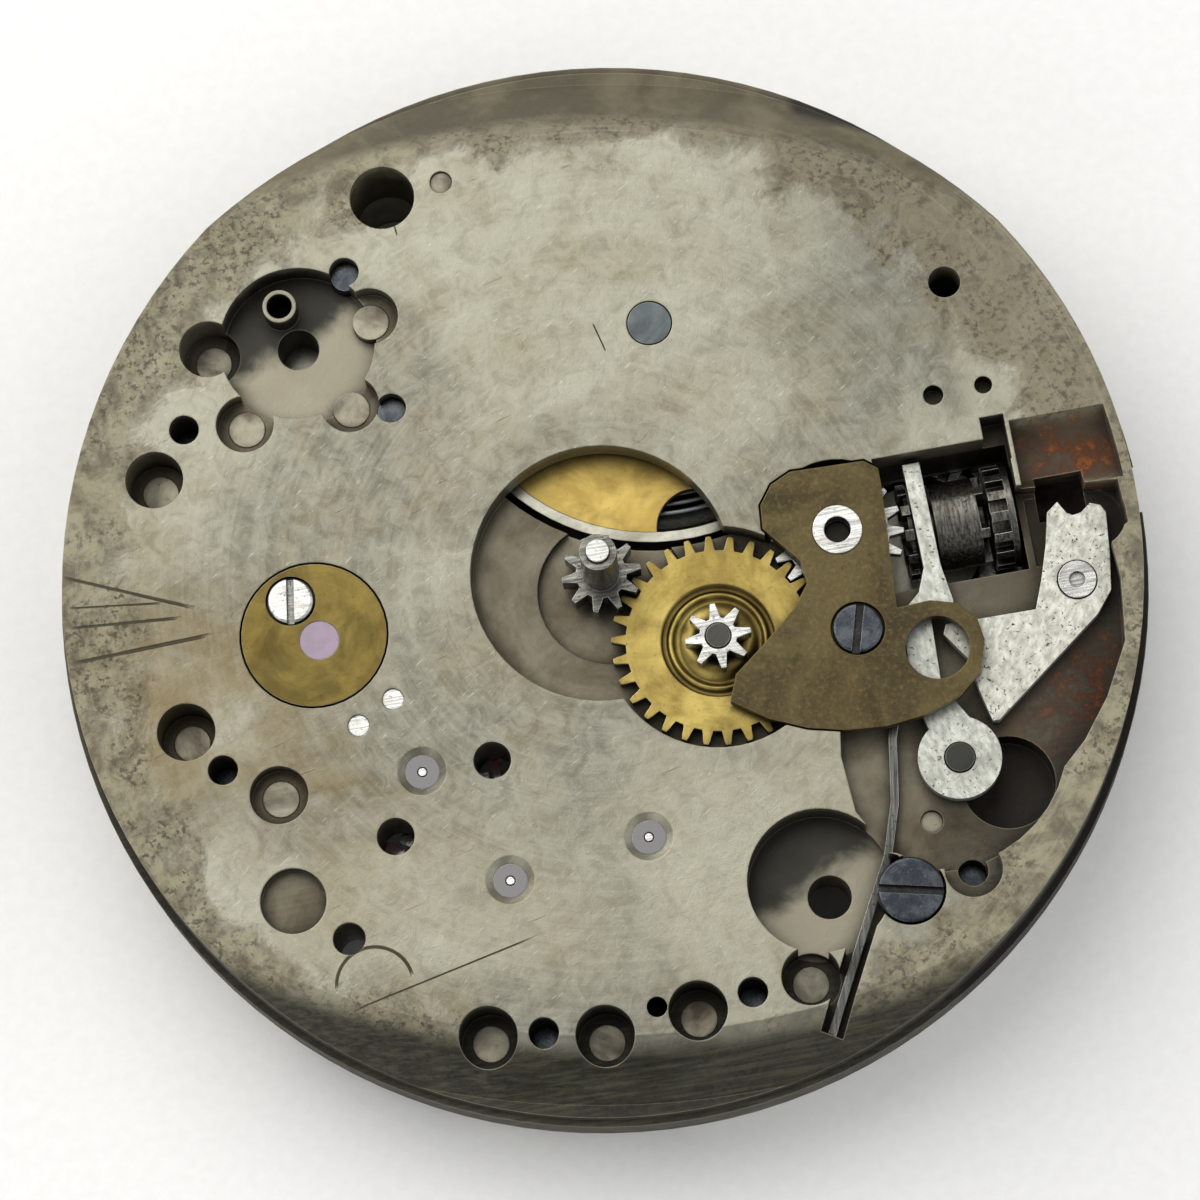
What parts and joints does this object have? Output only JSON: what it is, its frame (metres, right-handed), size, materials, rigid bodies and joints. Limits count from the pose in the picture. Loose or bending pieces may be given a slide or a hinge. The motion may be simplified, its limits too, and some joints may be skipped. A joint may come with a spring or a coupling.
{
  "type": "watch movement",
  "caption": "Round hand-wound watch movement: main plate, bridges, going train, lever escapement, balance, keyless and minute works.",
  "frame": {"origin": "on the centre arbor's axis, in the plane of the bridges' outer faces", "axes": "+X along the winding stem, out of the movement; +Z towards the dial; +Y completes the right-handed set"},
  "size_m": [0.027, 0.027, 0.0071],
  "materials": {
    "plate_metal": "aged grey nickel plating over brass, stained at the rim",
    "bridge_metal": "brushed nickel plating over brass",
    "brass": "turned brass",
    "cover_brass": "tarnished brass sheet",
    "steel": "bright steel, grained",
    "dark_steel": "hardened spring steel",
    "blued_steel": "blued steel, worn",
    "ruby": "polished synthetic ruby"
  },
  "bodies": {
    "frame": {"main_plate": "plate_metal", "barrel_bridge": "bridge_metal", "fourth_cock": "bridge_metal", "escape_cock": "bridge_metal", "balance_cock": "bridge_metal", "pallet_cock": "bridge_metal", "crown_wheel_screw": "blued_steel", "click_screw": "blued_steel", "click_spring": "dark_steel", "hairspring_stud": "steel", "upper_cap_jewel": "ruby", "yoke_spring": "dark_steel", "yoke_spring_screw": "blued_steel", "setting_lever_screw": "steel", "cover_plate": "cover_brass", "cover_plate_screw": "blued_steel", "cover_bush": "steel", "balance_cap_plate": "plate_metal", "cap_plate_screw": "steel", "lower_cap_jewel": "ruby", "plate_jewels": "ruby", "bridge_jewels": "ruby", "bridge_screws": "blued_steel", "steady_pins": "plate_metal", "banking_pins": "steel"},
    "barrel": {"barrel_drum": "steel", "barrel_cover": "brass", "mainspring": "dark_steel"},
    "barrel_arbor": {"barrel_arbor": "steel", "ratchet_wheel": "steel", "ratchet_screw": "blued_steel"},
    "crown_wheel": {"crown_wheel": "steel"},
    "click": {"click": "steel"},
    "center": {"center_wheel": "brass", "center_arbor": "steel"},
    "third": {"third_wheel": "brass", "third_pinion": "steel"},
    "fourth": {"fourth_wheel": "brass", "fourth_pinion": "steel"},
    "escape": {"escape_wheel": "steel", "escape_pinion": "steel"},
    "fork": {"pallet_fork": "steel", "pallet_arbor": "steel", "pallet_stones": "ruby"},
    "balance": {"balance_wheel": "brass", "balance_screws": "brass", "balance_staff": "steel", "roller": "steel", "impulse_jewel": "ruby", "hairspring": "blued_steel", "hairspring_collet": "brass"},
    "regulator": {"regulator": "steel"},
    "cannon": {"cannon_pinion": "steel"},
    "minute": {"minute_wheel": "brass", "minute_pinion": "steel"},
    "setting": {"setting_wheel": "steel"},
    "winding_pinion": {"winding_pinion": "steel"},
    "clutch": {"clutch_wheel": "steel"},
    "yoke": {"yoke": "steel"},
    "setting_lever": {"setting_lever": "steel"}
  },
  "joints": [
    {"name": "barrel_turn", "type": "hinge", "parent": "frame", "child": "barrel", "pos_m": [0.00228, 0.00604, 0.002], "axis": [0, 0, 1], "continuous": true},
    {"name": "barrel_arbor_turn", "type": "hinge", "parent": "frame", "child": "barrel_arbor", "pos_m": [0.00228, 0.00604, 0.002], "axis": [0, 0, 1], "continuous": true},
    {"name": "crown_wheel_turn", "type": "hinge", "parent": "frame", "child": "crown_wheel", "pos_m": [0.008, 0, 0.002], "axis": [0, 0, 1], "continuous": true},
    {"name": "click_turn", "type": "hinge", "parent": "frame", "child": "click", "pos_m": [-0.00128, 0.00096, 0.002], "axis": [0, 0, 1], "range_deg": [-12, 0], "stiffness_Nm_per_rad": 0.000000001},
    {"name": "center_turn", "type": "hinge", "parent": "frame", "child": "center", "pos_m": [0, 0, 0.002], "axis": [0, 0, 1], "continuous": true},
    {"name": "third_turn", "type": "hinge", "parent": "frame", "child": "third", "pos_m": [0.00276, -0.00374, 0.002], "axis": [0, 0, 1], "continuous": true},
    {"name": "fourth_turn", "type": "hinge", "parent": "frame", "child": "fourth", "pos_m": [0, -0.0067, 0.002], "axis": [0, 0, 1], "continuous": true},
    {"name": "escape_turn", "type": "hinge", "parent": "frame", "child": "escape", "pos_m": [-0.0035, -0.00715, 0.002], "axis": [0, 0, 1], "continuous": true},
    {"name": "fork_swing", "type": "hinge", "parent": "frame", "child": "fork", "pos_m": [-0.00516, -0.00411, 0.002], "axis": [0, 0, 1], "range_deg": [-5, 5]},
    {"name": "balance_swing", "type": "hinge", "parent": "frame", "child": "balance", "pos_m": [-0.0071, -0.00042, 0.002], "axis": [0, 0, 1], "range_deg": [-270, 270], "stiffness_Nm_per_rad": 0.00000025, "deforming": ["hairspring"]},
    {"name": "regulator_turn", "type": "hinge", "parent": "frame", "child": "regulator", "pos_m": [-0.0071, -0.00042, 0.002], "axis": [0, 0, 1], "range_deg": [-15, 15]},
    {"name": "cannon_turn", "type": "hinge", "parent": "frame", "child": "cannon", "pos_m": [0, 0, 0.002], "axis": [0, 0, 1], "continuous": true},
    {"name": "minute_wheel_turn", "type": "hinge", "parent": "frame", "child": "minute", "pos_m": [0.00254, -0.0021, 0.002], "axis": [0, 0, 1], "continuous": true},
    {"name": "setting_wheel_turn", "type": "hinge", "parent": "frame", "child": "setting", "pos_m": [0.0059, 0, 0.002], "axis": [0, 0, 1], "continuous": true},
    {"name": "winding_pinion_turn", "type": "hinge", "parent": "frame", "child": "winding_pinion", "pos_m": [0.01, 0, 0.003], "axis": [1, 0, 0], "continuous": true},
    {"name": "clutch_slide", "type": "slide", "parent": "frame", "child": "clutch", "axis": [1, 0, 0], "range_m": [-0.00025, 0], "stiffness_N_per_m": 0.05},
    {"name": "yoke_swing", "type": "hinge", "parent": "frame", "child": "yoke", "pos_m": [0.00782, -0.00604, 0.002], "axis": [0, 0, 1], "range_deg": [0, 2.37]},
    {"name": "setting_lever_swing", "type": "hinge", "parent": "frame", "child": "setting_lever", "pos_m": [0.01148, -0.0022, 0.002], "axis": [0, 0, 1], "range_deg": [-5, 0]}
  ],
  "couplings": [
    {"joint": "escape_turn", "follows": "fourth_turn", "ratio": -10},
    {"joint": "third_turn", "follows": "fourth_turn", "ratio": -0.13333},
    {"joint": "center_turn", "follows": "fourth_turn", "ratio": 0.016667},
    {"joint": "barrel_turn", "follows": "fourth_turn", "ratio": -0.0020833},
    {"joint": "cannon_turn", "follows": "fourth_turn", "ratio": 0.016667},
    {"joint": "minute_wheel_turn", "follows": "fourth_turn", "ratio": -0.0055556},
    {"joint": "setting_wheel_turn", "follows": "fourth_turn", "ratio": 0.0092593},
    {"joint": "crown_wheel_turn", "follows": "barrel_arbor_turn", "ratio": -1.6667},
    {"joint": "winding_pinion_turn", "follows": "barrel_arbor_turn", "ratio": -2.6667},
    {"joint": "yoke_swing", "follows": "clutch_slide", "rad_per_m": -165.55},
    {"joint": "setting_lever_swing", "follows": "clutch_slide", "rad_per_m": 349.03}
  ]
}
